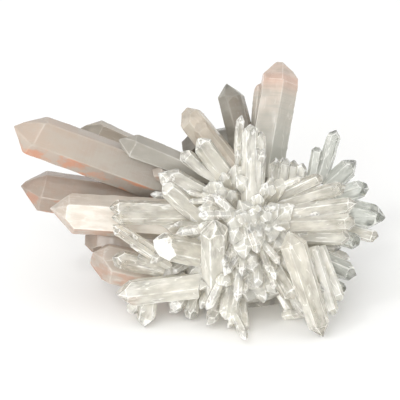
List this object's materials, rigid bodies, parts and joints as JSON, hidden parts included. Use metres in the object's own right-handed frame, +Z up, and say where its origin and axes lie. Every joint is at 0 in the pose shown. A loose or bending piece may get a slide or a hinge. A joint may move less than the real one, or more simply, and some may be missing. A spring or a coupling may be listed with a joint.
{
  "type": "quartz crystal cluster",
  "caption": "Quartz crystal cluster: long six-sided points with sloping tips burst from an intergrown base with a flat cut underside.",
  "frame": {"origin": "on the flat cut underside of the base, below the centre of the burst", "axes": "+Z up, +X to the right as the display face is looked at from -Y"},
  "size_m": [0.1481, 0.1006, 0.0831],
  "materials": {
    "clear_quartz": "clear to greyish rock crystal, glossy natural faces, refractive index 1.544",
    "milky_quartz": "milky white quartz with veils inside, glossy natural faces",
    "smoky_quartz": "pale smoky quartz, brownish grey, glossy natural faces",
    "stained_quartz": "milky quartz with pink to orange iron stains, glossy natural faces"
  },
  "bodies": {
    "root": {"intergrown_base": "milky_quartz", "giant_left_point": "stained_quartz", "shadowed_left_point": "smoky_quartz", "slender_left_point": "milky_quartz", "rusty_left_point": "stained_quartz", "window_left_point": "milky_quartz", "low_shadowed_left_point": "stained_quartz", "low_left_point": "stained_quartz", "ridged_left_point": "milky_quartz", "front_left_point": "milky_quartz", "left_needle_bundle": "milky_quartz", "low_left_twin": "milky_quartz", "low_front_left_point": "milky_quartz", "left_foot_point": "milky_quartz", "middle_foot_point": "milky_quartz", "upper_left_white_point": "milky_quartz", "upper_left_brown_point": "stained_quartz", "back_left_point": "smoky_quartz", "back_left_short_point": "smoky_quartz", "white_point": "milky_quartz", "tallest_point": "clear_quartz", "dark_back_point": "smoky_quartz", "centre_column": "milky_quartz", "stubby_columns": "milky_quartz", "right_back_point": "clear_quartz", "right_dome_point": "clear_quartz", "right_grey_point": "clear_quartz", "glassy_right_point": "clear_quartz", "glassy_lower_point": "clear_quartz", "low_right_point": "clear_quartz", "fan_point_1": "milky_quartz", "fan_point_2": "milky_quartz", "fan_point_3": "milky_quartz", "fan_point_4": "milky_quartz", "fan_point_5": "milky_quartz", "great_front_point": "milky_quartz", "front_side_bundle": "milky_quartz", "right_foot_point": "clear_quartz", "right_foot_short_point": "clear_quartz", "front_slab_point": "milky_quartz", "front_dome_point": "milky_quartz", "rear_great_point": "smoky_quartz", "rear_left_point": "smoky_quartz", "rear_low_left_point": "stained_quartz", "rear_right_point": "clear_quartz", "rear_middle_point": "milky_quartz", "rear_low_right_point": "clear_quartz"}
  },
  "joints": []
}
